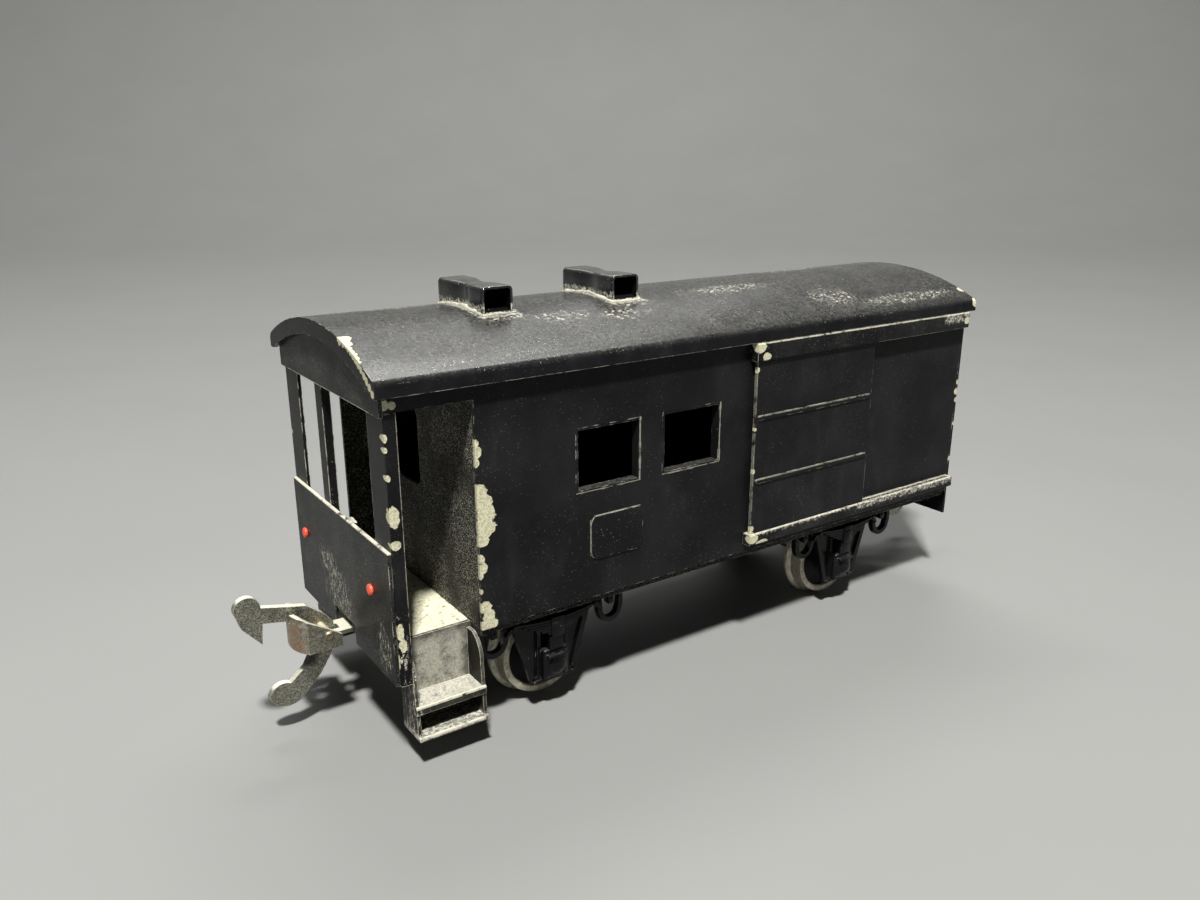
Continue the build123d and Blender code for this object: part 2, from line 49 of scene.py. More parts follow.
# ------------------------------------------------------------------ shader graphs
class Graph:
    """A material whose pattern is laid out in millimetres in the piece's own frame."""

    def __init__(self, name):
        self.material = bpy.data.materials.new(name)
        self.material.use_nodes = True
        self.tree = self.material.node_tree
        self.tree.nodes.clear()
        self.output = self.tree.nodes.new("ShaderNodeOutputMaterial")
        self.shader = self.tree.nodes.new("ShaderNodeBsdfPrincipled")
        self.link(self.shader.outputs[0], self.output.inputs[0])
        coordinates = self.tree.nodes.new("ShaderNodeTexCoord").outputs["Object"]
        self.place = self.vector("SCALE", coordinates, scale=1 / MM)
        split = self.tree.nodes.new("ShaderNodeSeparateXYZ")
        self.link(self.place, split.inputs[0])
        self.x, self.y, self.z = split.outputs
        self.geometry = self.tree.nodes.new("ShaderNodeNewGeometry")

    def link(self, a, b):
        self.tree.links.new(a, b)

    def put(self, socket, value):
        if isinstance(value, bpy.types.NodeSocket):
            self.link(value, socket)
        elif isinstance(value, tuple) and len(value) == 3 and socket.type == "RGBA":
            socket.default_value = (*value, 1)
        else:
            socket.default_value = value

    def vector(self, operation, a, b=None, scale=None):
        n = self.tree.nodes.new("ShaderNodeVectorMath")
        n.operation = operation
        self.put(n.inputs[0], a)
        if b is not None:
            self.put(n.inputs[1], b)
        if scale is not None:
            self.put(n.inputs["Scale"], scale)
        return n.outputs["Value"] if operation in ("DOT_PRODUCT", "LENGTH", "DISTANCE") else n.outputs[0]

    def math(self, operation, a, b=0.0, clamp=False):
        n = self.tree.nodes.new("ShaderNodeMath")
        n.operation = operation
        n.use_clamp = clamp
        self.put(n.inputs[0], a)
        self.put(n.inputs[1], b)
        return n.outputs[0]

    def times(self, first, *others):
        for other in others:
            first = self.math("MULTIPLY", first, other)
        return first

    def step(self, value, low, high):
        """0 below low, 1 above high, smooth between; low may be the larger of the two."""
        n = self.tree.nodes.new("ShaderNodeMapRange")
        n.interpolation_type = "SMOOTHSTEP"
        self.put(n.inputs["Value"], value)
        n.inputs["From Min"].default_value = low
        n.inputs["From Max"].default_value = high
        return n.outputs["Result"]

    def noise(self, per_mm, detail=3.0, stretch=(1, 1, 1), shift=0.0, roughness=0.55):
        n = self.tree.nodes.new("ShaderNodeTexNoise")
        n.inputs["Scale"].default_value = per_mm
        n.inputs["Detail"].default_value = detail
        n.inputs["Roughness"].default_value = roughness
        moved = self.vector("MULTIPLY_ADD", self.place, stretch)
        moved.node.inputs[2].default_value = (shift, shift * 0.7, shift * 1.3)
        self.link(moved, n.inputs["Vector"])
        return n.outputs["Fac"]

    def specks(self, per_mm, size, share, shift=0.0):
        """Small round dots, one in some of the cells of a grid: 1 inside a dot."""
        n = self.tree.nodes.new("ShaderNodeTexVoronoi")
        n.inputs["Scale"].default_value = per_mm
        moved = self.vector("ADD", self.place, (shift, shift, shift))
        self.link(moved, n.inputs["Vector"])
        split = self.tree.nodes.new("ShaderNodeSeparateColor")
        self.link(n.outputs["Color"], split.inputs[0])
        kept = self.step(split.outputs[0], 1 - share - 0.02, 1 - share)
        reach = self.math("MULTIPLY", split.outputs[1], size)
        inside = self.math("SUBTRACT", reach, n.outputs["Distance"])
        return self.math("MULTIPLY", self.step(inside, 0.0, 0.05), kept)

    def blobs(self, spots, ragged=0.35, per_mm=1.1, soft=0.12):
        """1 inside any of the spots (centre in mm, radii in mm), with a ragged flaked outline."""
        rough = self.math("SUBTRACT", self.noise(per_mm, 3.0, shift=7.0), 0.5)
        rough = self.math("MULTIPLY", rough, 2 * ragged)
        nearest = None
        for centre, radii in spots:
            away = self.vector("SUBTRACT", self.place, tuple(centre))
            scaled = self.vector("MULTIPLY", away, tuple(1 / r for r in radii))
            reach = self.vector("LENGTH", scaled)
            nearest = reach if nearest is None else self.math("MINIMUM", nearest, reach)
        edge = self.math("ADD", nearest, rough)
        return self.step(edge, 1.0 + soft / 2, 1.0 - soft / 2)

    def boxes(self, spans, ragged=0.10, soft=0.06):
        """1 inside any of the boxes (low corner, high corner, in mm), with slightly ragged edges."""
        rough = self.math("SUBTRACT", self.noise(1.5, 3.0, shift=31.0), 0.5)
        rough = self.math("MULTIPLY", rough, ragged * 4)
        nearest = None
        for low, high in spans:
            middle = tuple((a + b) / 2 for a, b in zip(low, high))
            half = tuple((b - a) / 2 for a, b in zip(low, high))
            away = self.vector("ABSOLUTE", self.vector("SUBTRACT", self.place, middle))
            split = self.tree.nodes.new("ShaderNodeSeparateXYZ")
            self.link(self.vector("SUBTRACT", away, half), split.inputs[0])
            widest = self.math("MAXIMUM", split.outputs[0], split.outputs[1])
            reach = self.math("MAXIMUM", widest, split.outputs[2])
            nearest = reach if nearest is None else self.math("MINIMUM", nearest, reach)
        return self.step(self.math("ADD", nearest, rough), soft / 2, -soft / 2)

    def mix(self, share, a, b):
        n = self.tree.nodes.new("ShaderNodeMix")
        n.data_type = "RGBA"
        self.put(n.inputs["Factor"], share)
        self.put(n.inputs["A"], a)
        self.put(n.inputs["B"], b)
        return n.outputs["Result"]

    def blend(self, share, a, b):
        n = self.tree.nodes.new("ShaderNodeMix")
        self.put(n.inputs["Factor"], share)
        self.put(n.inputs["A"], a)
        self.put(n.inputs["B"], b)
        return n.outputs["Result"]

    def edges(self, radius_mm):
        """1 on outer and inner corners, 0 on flat surfaces."""
        n = self.tree.nodes.new("ShaderNodeBevel")
        n.samples = 6
        n.inputs["Radius"].default_value = radius_mm * MM
        bend = self.vector("DOT_PRODUCT", n.outputs[0], self.geometry.outputs["Normal"])
        return self.math("SUBTRACT", 1.0, bend, clamp=True)

    def facing_up(self, low=0.35, high=0.95):
        """0 on walls, 1 on level tops."""
        split = self.tree.nodes.new("ShaderNodeSeparateXYZ")
        self.link(self.geometry.outputs["Normal"], split.inputs[0])
        return self.step(split.outputs[2], low, high)

    def facing_side(self):
        """1 on faces that look along Y, 0 on the others."""
        split = self.tree.nodes.new("ShaderNodeSeparateXYZ")
        self.link(self.geometry.outputs["Normal"], split.inputs[0])
        return self.step(self.math("ABSOLUTE", split.outputs[1]), 0.6, 0.9)

    def relief(self, height, distance_mm, radius_mm=0.08):
        rounded = self.tree.nodes.new("ShaderNodeBevel")
        rounded.samples = 4
        rounded.inputs["Radius"].default_value = radius_mm * MM
        bump = self.tree.nodes.new("ShaderNodeBump")
        bump.inputs["Distance"].default_value = distance_mm * MM
        bump.inputs["Strength"].default_value = 1.0
        self.link(height, bump.inputs["Height"])
        self.link(rounded.outputs[0], bump.inputs["Normal"])
        self.link(bump.outputs[0], self.shader.inputs["Normal"])


DUST = (0.56, 0.54, 0.46)
PRIMER = (0.53, 0.51, 0.36)
BARE_BRASS = (0.66, 0.63, 0.52)
CREAM = (0.72, 0.69, 0.50)
SHEEN_AND_SMEAR = (0.11, 0.11, 0.10)
TARNISH_PIT = (0.070, 0.068, 0.050)
# dark colour of painted shadow
PAINTED_SHADOW = (0.035, 0.034, 0.030)
ENAMEL_DARK = (0.0050, 0.0052, 0.0060)
ENAMEL_LIGHT = (0.0105, 0.0108, 0.0120)


def darker(colour, share):
    return tuple(share * c for c in colour)


def paint(name, dark=ENAMEL_DARK, light=ENAMEL_LIGHT, gloss=0.34, shine=0.22, side_shine=0.35, peel=0.004,
          dust=0.10, speck=0.16, dusty=(), grime=(), grit=0.0, grit_colour=(0.34, 0.32, 0.24), grit_in=(),
          wear=0.5, wear_radius=0.14, lines=(), line_share=0.9, scuffs=(), chips=(),
          bare_top=(), bare_side=(), bare_colour=CREAM):
    """Black enamel, from the film outwards: lighter patches of painted sheen and smears, worn tops, grit,
    dust, dots, scuffs, rubbed corners with lines of painted highlight and sheen, flaked spots.

    gloss is the film's roughness, shine its reflection on tops and side_shine the part of it left on walls.
    """
    g = Graph(name)
    colour = g.mix(g.step(g.noise(0.12, 4.0), 0.35, 0.68), dark, light)
    # lighter streaky patches: partly painted sheen, partly smears
    sheen_and_smear = g.step(g.noise(0.42, 5.0, stretch=(1.0, 1.0, 0.3), shift=3.0), 0.52, 0.80)
    colour = g.mix(g.times(sheen_and_smear, 0.05), colour, SHEEN_AND_SMEAR)
    roughness = g.blend(g.noise(0.35, 4.0, shift=11.0), gloss - 0.07, gloss + 0.09)
    height = g.times(g.noise(1.6, 3.0, shift=1.0), 0.5)

    if bare_top:
        top = g.times(g.boxes(bare_top, ragged=0.3, soft=0.3), g.facing_up(0.5, 0.9))
        top = g.times(top, g.step(g.noise(0.7, 6.0, shift=41.0, roughness=0.7), 0.16, 0.46))
        sand = g.step(g.noise(4.2, 5.0, shift=43.0, roughness=0.8), 0.36, 0.62)
        colour = g.mix(top, colour, g.mix(sand, darker(bare_colour, 0.5), bare_colour))
        roughness = g.blend(top, roughness, 0.6)
    if bare_side:
        thin = g.times(g.boxes(bare_side, ragged=0.4, soft=2.4), g.facing_side())
        thin = g.times(thin, g.step(g.noise(0.6, 6.0, shift=47.0, roughness=0.7), 0.22, 0.58))
        sand = g.step(g.noise(5.2, 5.0, shift=49.0, roughness=0.8), 0.34, 0.64)
        colour = g.mix(thin, colour, g.mix(sand, darker(bare_colour, 0.55), bare_colour))
        roughness = g.blend(thin, roughness, 0.55)

    if grit:
        patches = g.step(g.noise(0.20, 3.0, shift=9.0), 0.22, 0.62)
        coarse = g.specks(6.2, 0.60, 0.40, shift=5.0)
        fine = g.specks(10.5, 0.72, 0.50, shift=8.0)
        fine = g.times(g.math("MAXIMUM", coarse, fine), patches, grit)
        if grit_in:
            fine = g.times(fine, g.boxes(grit_in))
        colour = g.mix(fine, colour, grit_colour)
        height = g.math("ADD", height, fine)

    settled = g.times(g.facing_up(), g.step(g.noise(2.2, 5.0, shift=2.0), 0.30, 0.78), dust)
    if dusty:
        patch = g.blobs(dusty, ragged=0.9, per_mm=0.55, soft=0.9)
        flecks = g.step(g.noise(2.6, 5.0, shift=21.0, roughness=0.7), 0.50, 0.66)
        settled = g.math("MAXIMUM", settled, g.times(patch, flecks, 0.85))
    if grime:
        film = g.boxes(grime, ragged=0.35, soft=0.5)
        film = g.times(film, g.step(g.noise(3.2, 4.0, shift=23.0, roughness=0.7), 0.40, 0.62))
        settled = g.math("MAXIMUM", settled, g.times(film, 0.75))
    colour = g.mix(settled, colour, DUST)
    roughness = g.blend(settled, roughness, 0.8)

    dots = g.math("MAXIMUM", g.specks(1.1, 0.13, speck * 0.6), g.specks(3.6, 0.24, speck, shift=4.0))
    dots = g.math("MAXIMUM", dots, g.times(g.specks(7.0, 0.34, speck * 0.8, shift=12.0), 0.4))
    dots = g.times(dots, g.step(g.noise(0.22, 3.0, shift=51.0), 0.30, 0.66))
    dots = g.times(dots, g.blend(g.facing_up(0.3), 0.55, 1.0))
    colour = g.mix(g.times(dots, 0.8), colour, DUST)
    height = g.math("ADD", height, g.times(dots, 1.2))

    if scuffs:
        strokes = g.noise(2.8, 4.0, stretch=(1.0, 1.0, 0.30), shift=33.0, roughness=0.7)
        broken = g.step(g.noise(4.5, 3.0, shift=37.0, roughness=0.7), 0.44, 0.54)
        strokes = g.times(g.step(strokes, 0.51, 0.58), broken, g.blobs(scuffs, 0.7, 0.5, 0.6))
        colour = g.mix(g.times(strokes, 0.75), colour, BARE_BRASS)

    spread = 0.60 - 0.26 * wear
    worn_places = g.step(g.noise(0.8, 5.0, shift=15.0), spread, spread + 0.14)
    wear_and_highlight = g.times(g.step(g.edges(wear_radius), 0.03, 0.16), worn_places, min(1.0, 0.25 + wear))
    # bright lines: partly rubbed bare metal, mostly painted highlights and sheen on edges that catch the
    # light
    if lines:
        bright = g.boxes(lines, ragged=0.03, soft=0.08)
        broken = g.step(g.noise(0.9, 5.0, shift=27.0, roughness=0.65), 0.36, 0.50)
        wear_and_highlight = g.math("MAXIMUM", wear_and_highlight, g.times(bright, broken, line_share))
    colour = g.mix(wear_and_highlight, colour, BARE_BRASS)
    roughness = g.blend(wear_and_highlight, roughness, 0.40)

    if chips:
        flaked = g.blobs(chips, ragged=0.42, per_mm=1.7, soft=0.08)
        sand = g.step(g.noise(5.0, 3.0, shift=13.0, roughness=0.7), 0.34, 0.60)
        colour = g.mix(flaked, colour, g.mix(sand, darker(PRIMER, 0.55), PRIMER))
        roughness = g.blend(flaked, roughness, 0.6)
        height = g.math("SUBTRACT", height, g.times(flaked, 6.0))

    g.put(g.shader.inputs["Base Color"], colour)
    g.put(g.shader.inputs["Metallic"], g.times(wear_and_highlight, 0.25))
    g.put(g.shader.inputs["Roughness"], roughness)
    g.put(g.shader.inputs["Specular IOR Level"], g.blend(g.facing_up(0.3), shine * side_shine, shine))
    g.relief(height, peel)
    return g.material


def metal(name, colour, shadow, rough=0.34, grain=(1, 1, 1), grain_scale=2.0, tarnish=0.4, speckle=0.0,
          tint=None, tinted=(), shadow_spots=(), metallic=0.9):
    """Plated or turned metal: grain lines, tarnish in patches, fine pits, brighter rubbed corners, tops
    painted brighter as a painted highlight, spots of painted shadow.
    """
    g = Graph(name)
    streaks = g.noise(grain_scale, 5.0, stretch=grain, shift=1.0)
    tone = g.mix(g.step(streaks, 0.3, 0.72), shadow, colour)
    patch = g.step(g.noise(0.45, 4.0, shift=6.0), 0.42, 0.74)
    tone = g.mix(g.times(patch, tarnish), tone, darker(shadow, 0.45))
    if tint:
        share = g.step(g.noise(0.6, 3.0, shift=17.0), 0.36, 0.58)
        share = g.times(share, g.blobs(tinted, ragged=0.4, per_mm=0.5, soft=0.6))
        tone = g.mix(g.times(share, 0.85), tone, tint)
    height = streaks
    if speckle:
        pits = g.step(g.noise(9.0, 3.0, shift=8.0, roughness=0.75), 0.48, 0.55)
        tone = g.mix(g.times(pits, speckle), tone, TARNISH_PIT)
        height = g.math("SUBTRACT", height, pits)
    # rubbed corners, and tops painted brighter as a painted highlight
    wear_and_highlight = g.math("MAXIMUM", g.step(g.edges(0.12), 0.03, 0.22), g.facing_up(0.45))
    tone = g.mix(g.times(wear_and_highlight, 0.85), tone, tuple(min(0.95, 1.45 * c) for c in colour))
    roughness = g.blend(streaks, rough - 0.08, rough + 0.14)
    # painted shadow where another part shades this one
    if shadow_spots:
        shadowed = g.blobs(shadow_spots, ragged=0.5, per_mm=0.9, soft=0.7)
        tone = g.mix(g.times(shadowed, 0.85), tone, PAINTED_SHADOW)
        roughness = g.blend(shadowed, roughness, 0.6)
    g.put(g.shader.inputs["Base Color"], tone)
    g.put(g.shader.inputs["Roughness"], roughness)
    g.put(g.shader.inputs["Metallic"], g.blend(g.facing_up(0.4), metallic, 0.35))
    g.relief(height, 0.010)
    return g.material


def spot(x, y, z, r, depth=1.2):
    """A flaked spot on a side or end face: round in the face, deep enough to reach the face."""
    return ((x, y, z), (r, depth, r))


def both_sides(*spans):
    """Boxes given on the left side (-Y), together with the same boxes on the right side."""
    right = [((low[0], -high[1], low[2]), (high[0], -low[1], high[2])) for low, high in spans]
    return list(spans) + right


# flaked places, in millimetres: (x, z, radius) on a side, or (centre, radii)
SIDE_Y = 15.0
DOOR_Y = 15.9
cabin_edge = [
    (-34.8, 35.1, 0.45), (-34.6, 34.1, 0.60), (-34.75, 33.0, 0.45), (-34.5, 29.8, 0.90),
    (-34.1, 28.6, 1.05), (-33.8, 27.3, 1.10), (-33.9, 25.8, 1.15), (-34.4, 24.4, 0.80),
    (-34.7, 22.3, 0.55), (-34.5, 21.2, 0.65), (-34.8, 20.4, 0.40), (-34.8, 18.6, 0.30),
    (-34.3, 16.6, 0.75), (-33.9, 15.5, 0.80), (-34.4, 14.3, 0.90), (-33.4, 14.5, 0.55),
]
goods_edge = [
    (44.7, 30.8, 0.40), (44.5, 29.4, 0.50), (44.7, 28.1, 0.40), (44.7, 24.5, 0.30),
    (44.6, 19.0, 0.35), (44.6, 39.6, 0.55),
]
header_end = [(-44.2, 40.5, 0.50), (-43.4, 40.4, 0.42)]
right_side = [(44.6, 22.0, 0.5), (44.5, 33.0, 0.4), (-12.5, 14.2, 0.4), (-34.9, 14.3, 0.6)]
door_edge = [(3.4, 17.2, 0.45), (3.5, 16.3, 0.55), (3.3, 38.0, 0.35), (3.3, 30.5, 0.25), (3.3, 25.0, 0.3)]
side_chips = [spot(x, -SIDE_Y, z, r) for x, z, r in cabin_edge + goods_edge + header_end]
side_chips += [spot(x, SIDE_Y, z, r) for x, z, r in right_side]
door_chips = [spot(x, -DOOR_Y, z, r) for x, z, r in door_edge]
post_chips = [((-44.0, -15.0, 29.1), (0.62, 1.2, 1.15)), ((-43.95, -15.0, 26.1), (0.55, 1.2, 0.50)),
              ((-44.35, -15.0, 37.2), (0.26, 1.2, 0.45)), ((-44.35, -15.0, 36.0), (0.22, 1.2, 0.30)),
              ((-44.25, -15.0, 33.2), (0.24, 1.2, 0.36)), ((-44.1, -15.0, 16.6), (0.36, 1.2, 0.95)),
              ((-43.9, -15.0, 15.0), (0.42, 1.2, 0.70)), ((-44.5, -15.0, 13.2), (0.22, 1.2, 1.40)),
              ((-44.0, 15.0, 31.0), (0.4, 1.2, 0.7)), ((-43.8, 15.0, 18.4), (0.4, 1.2, 0.5)),
              ((-44.2, 15.0, 12.6), (0.4, 1.2, 0.9))]
rail_chips = [((3.3, -16.1, 40.9), (0.9, 0.9, 0.7)), ((4.4, -16.2, 39.6), (0.7, 0.7, 0.5)),
              ((43.4, -16.2, 40.2), (0.6, 0.8, 0.5)), ((3.4, -16.1, 16.0), (1.0, 0.8, 0.6)),
              ((5.0, -16.1, 15.3), (1.0, 0.8, 0.35))]
roof_dust = [((21.0, -11.0, 45.2), (3.4, 2.2, 2.0)), ((33.0, -13.6, 44.0), (9.0, 1.0, 2.0)),
             ((8.0, -5.0, 46.4), (7.0, 1.4, 2.0)), ((27.0, 4.0, 46.3), (7.0, 2.0, 2.0)),
             ((-19.5, -8.0, 46.0), (3.6, 1.2, 2.0)), ((-34.0, 5.0, 46.5), (5.0, 2.2, 2.0)),
             ((1.0, 10.0, 45.3), (6.0, 2.0, 2.0)), ((-12.0, -9.0, 45.6), (3.0, 1.4, 2.0)),
             ((-9.0, -6.6, 46.1), (3.0, 0.9, 1.5)), ((-26.4, -6.6, 46.1), (3.0, 0.9, 1.5))]
roof_chips = [((-45.3, -7.4 - 0.62 * k, 46.08 - 0.11 * k - 0.0165 * k * k), (0.34, 0.42, 0.42))
              for k in range(14)]
roof_chips += [((-45.0, -7.7, 45.95), (0.95, 0.75, 0.7)), ((-45.1, -8.8, 45.7), (0.6, 0.6, 0.6)),
               ((45.3, -15.8, 42.5), (0.7, 0.7, 0.7)), ((45.3, 12.0, 44.6), (0.5, 0.5, 0.5)),
               ((45.2, -13.4, 44.1), (0.5, 0.6, 0.5))]
end_scuffs = [((-44.8, 1.2, 14.9), (1.5, 4.0, 2.8)), ((-44.8, -12.0, 13.5), (1.5, 1.6, 2.4)),
              ((-44.8, 4.0, 17.6), (1.5, 3.0, 1.6))]
post_scuffs = [((-44.4, -14.8, 13.0), (1.0, 1.0, 5.0))]
cheek_scuffs = [((-43.3, y, 9.0), (0.8, 2.6, 6.5)) for y in (-14.6, 14.6)]
# painted shadow of the loop on the hook's tail
hook_painted_shadow = [((x, 0, 9.1), (1.3, 2.0, 1.5)) for x in (-49.6, 49.6)]
loop_tint = [((x, 0, 12.0), (1.4, 4.0, 2.6)) for x in (-51.4, 51.4)]

# bright lines along edges, as boxes of (low corner, high corner): partly rubbed bare metal, mostly painted
# highlights and sheen where edges catch the light
PANEL_LEFT = -20.65
PANEL_RIGHT = -13.35
PANEL_TOP = 24.0
DOOR_RIBS = (23.6, 31.9)
roof_lines = both_sides(((-45.4, -16.2, 41.3), (45.4, -15.9, 41.44)))
end_lines = [((-44.9, -14.7, 25.12), (-44.2, 14.7, 25.4)), ((-44.9, -12.5, 39.2), (-44.2, 12.5, 39.36))]
side_lines = both_sides(
    ((PANEL_LEFT + 0.5, -15.3, PANEL_TOP - 0.06), (PANEL_RIGHT - 0.3, -14.9, PANEL_TOP + 0.06)),
    ((PANEL_LEFT - 0.06, -15.3, PANEL_TOP - 4.4), (PANEL_LEFT + 0.04, -14.9, PANEL_TOP - 0.4)))
door_lines = both_sides(((3.2, -16.2, 15.8), (3.42, -15.4, 40.2)))
# a painted highlight just above each door rib
for rib in DOOR_RIBS:
    door_lines += both_sides(((3.6, -16.2, rib + 0.14), (24.2, -15.4, rib + 0.32)))
rail_lines = both_sides(
    ((2.8, -16.4, 16.5), (44.2, -15.2, 16.7)),
    ((2.8, -16.4, 41.2), (44.2, -15.2, 41.5)),
    ((24.8, -16.4, 39.0), (44.2, -15.2, 39.2)))
# painted highlights on the lit window sills and jambs
frame_lines = both_sides(
    ((-40.0, -15.2, 27.0), (0.0, -14.7, 27.18)),
    ((-13.86, -15.2, 27.0), (-13.6, -14.7, 34.8)),
    ((-1.78, -15.2, 27.0), (-1.5, -14.7, 34.8)))
step_lines = both_sides(
    ((-43.2, -15.95, 3.75), (-34.6, -15.55, 4.2)),
    ((-43.2, -15.5, 7.25), (-34.6, -15.2, 7.6)))

# places that gather dirt or have lost their paint, as boxes
rail_grime = [((23.0, -16.5, 15.9), (44.2, -15.0, 16.8)), ((3.0, -16.5, 16.4), (24.0, -15.0, 16.8)),
              ((38.5, -16.5, 40.2), (44.2, -15.0, 41.6)), ((24.0, 15.0, 15.9), (44.2, 16.5, 16.8))]
vent_dust = [((x - 2.6, -6.3, 44.0), (x + 2.6, 6.3, 47.0)) for x in vent_centres.values()]
vent_foot = [((-35.0, -6.0, 46.0), (0.0, 6.0, 47.25))]
riser = both_sides(((-44.4, -14.4, 5.8), (-35.5, -9.8, 13.6)))
lower_tread = both_sides(((-43.2, -16.2, 3.4), (-34.6, -11.6, 4.3)))
upper_treads = [((-43.2, -16.0, 7.0), (-34.6, 16.0, 7.7))]
veranda_top = [((-44.5, -12.2, 13.8), (-34.8, 12.2, 14.2))]
roof_sheet_top = [((-45.2, -15.5, 43.5), (45.2, 15.5, 47.0))]
far_tab = [((-38.2, 14.3, 13.9), (-34.6, 14.75, 40.0)), ((-38.2, -14.75, 39.6), (-34.6, -14.3, 43.0))]

material = {
    "roof_paint": paint("roof_paint", gloss=0.25, shine=0.26, side_shine=0.25, dust=0.06, speck=0.70,
                        wear=0.45, grit=0.22, grit_in=roof_sheet_top, grit_colour=(0.34, 0.34, 0.31),
                        dusty=roof_dust, grime=vent_dust, chips=roof_chips, lines=roof_lines,
                        line_share=0.22, peel=0.003),
    "vent_gloss": paint("vent_gloss", gloss=0.14, shine=0.8, side_shine=1.0, dust=0.12, speck=0.30,
                        wear=0.30, grime=vent_foot),
    "body_paint": paint("body_paint", speck=0.18, shine=0.36, side_shine=0.3, chips=side_chips,
                        lines=side_lines, line_share=0.28, grit=0.9, grit_in=far_tab, wear=0.40),
    "end_paint": paint("end_paint", dark=(0.006, 0.006, 0.006), light=(0.016, 0.016, 0.016), speck=0.45,
                       grit=0.18, grit_colour=(0.40, 0.40, 0.36), gloss=0.36, shine=0.3,
                       side_shine=0.3, lines=end_lines, scuffs=end_scuffs),
    "post_paint": paint("post_paint", dark=(0.0040, 0.0040, 0.0046), light=(0.0075, 0.0075, 0.0084),
                        speck=0.25, wear=0.8, wear_radius=0.18, shine=0.4, side_shine=0.25,
                        chips=post_chips, scuffs=post_scuffs),
    "partition_paint": paint("partition_paint", dark=(0.006, 0.0055, 0.0045), light=(0.012, 0.011, 0.009),
                             gloss=0.5, grit=0.75, grit_colour=(0.48, 0.46, 0.38), wear=0.6),
    "floor_paint": paint("floor_paint", gloss=0.5, grit=0.35, grit_colour=(0.30, 0.28, 0.21),
                         bare_top=veranda_top, dust=0.3, speck=0.2, wear=0.4),
    "door_paint": paint("door_paint", speck=0.28, shine=0.36, wear=0.40, chips=door_chips, lines=door_lines,
                        line_share=0.20),
    "rail_paint": paint("rail_paint", light=(0.018, 0.018, 0.018), gloss=0.36, speck=0.40, wear=0.50,
                        chips=rail_chips, lines=rail_lines, line_share=0.42, grime=rail_grime, dust=0.35),
    "step_paint": paint("step_paint", dark=(0.007, 0.007, 0.006), light=(0.024, 0.022, 0.018), gloss=0.40,
                        bare_top=upper_treads, bare_side=riser, bare_colour=(0.38, 0.37, 0.31),
                        scuffs=cheek_scuffs, dust=0.4, speck=0.35, wear=1.0, wear_radius=0.10,
                        lines=step_lines, grime=lower_tread),
    "frame_paint": paint("frame_paint", wear=0.35, lines=frame_lines, line_share=0.35),
    "lamp_red": paint("lamp_red", dark=(0.70, 0.055, 0.025), light=(0.90, 0.16, 0.07), dust=0.1, speck=0.1,
                      wear=0.0, shine=0.5, side_shine=1.0),
    "casting_black": paint("casting_black", dark=(0.0025, 0.0025, 0.0030), light=(0.0050, 0.0050, 0.0056),
                           gloss=0.20, shine=1.0, side_shine=0.18, dust=0.05, speck=0.08, wear=0.02),
    "wheel_nickel": metal("wheel_nickel", (0.72, 0.67, 0.53), (0.32, 0.295, 0.22), rough=0.28,
                          tarnish=0.45, grain=(1, 6, 1), grain_scale=1.2, speckle=0.25, metallic=0.6),
    "axle_steel": metal("axle_steel", (0.50, 0.49, 0.46), (0.22, 0.21, 0.19), rough=0.36, grain=(1, 5, 1)),
    "coupler_nickel": metal("coupler_nickel", (0.60, 0.59, 0.50), (0.27, 0.265, 0.215), rough=0.36,
                            tarnish=0.4, speckle=0.95, grain_scale=3.0, shadow_spots=hook_painted_shadow),
    "loop_copper": metal("loop_copper", (0.56, 0.54, 0.45), (0.26, 0.245, 0.195), rough=0.33, tarnish=0.4,
                         tint=(0.46, 0.28, 0.165), speckle=0.75, tinted=loop_tint),
    "screw_brass": metal("screw_brass", (0.50, 0.44, 0.30), (0.25, 0.21, 0.13), rough=0.33, speckle=0.3),
}
wheel_centre = paint("wheel_centre", gloss=0.40, dust=0.15, speck=0.10, wear=0.15)
solder = paint("solder", dark=(0.16, 0.155, 0.13), light=(0.44, 0.42, 0.34), gloss=0.5, shine=0.4, dust=0.7,
               speck=0.5, grit=0.8, grit_colour=(0.62, 0.59, 0.48), wear=0.1, peel=0.02)
# matte near-black for the ventilator mouths: painted shade of the tunnel's dark inside
mouth_painted_shade = paint("mouth_painted_shade", dark=(0.002, 0.002, 0.002), light=(0.004, 0.004, 0.004), gloss=0.7,
                    shine=0.05, dust=0.0, speck=0.05, wear=0.0)

slot_of = {part["node"]: part["material_slot"] for part in frame["record"]["subparts"]}
for name, node in nodes.items():
    node.data.materials.clear()
    node.data.materials.append(material[slot_of[name]])


# ------------------------------------------------------------------ mesh tools
def to_object(name, bm, surfaces, body, replaced=(), sharp=35.0):
    """Turns a bmesh laid out in millimetres into a smooth-shaded piece that rides on a body."""
    bmesh.ops.recalc_face_normals(bm, faces=bm.faces)
    bmesh.ops.scale(bm, vec=(MM, MM, MM), verts=bm.verts)
    for face in bm.faces:
        face.smooth = True
    for edge in bm.edges:
        if len(edge.link_faces) != 2 or edge.calc_face_angle(0.0) > math.radians(sharp):
            edge.smooth = False
    # a bevel leaves its faces in an order that changes from run to run
    bm.verts.index_update()
    for index, face in enumerate(sorted(bm.faces, key=lambda face: [v.index for v in face.verts])):
        face.index = index
    bm.faces.sort()
    mesh = bpy.data.meshes.new(name)
    bm.to_mesh(mesh)
    bm.free()
    for surface in surfaces:
        mesh.materials.append(surface)
    obj = bpy.data.objects.new(name, mesh)
    bpy.context.scene.collection.objects.link(obj)
    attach(obj, body)
    if replaced:
        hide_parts(*replaced)
    return obj


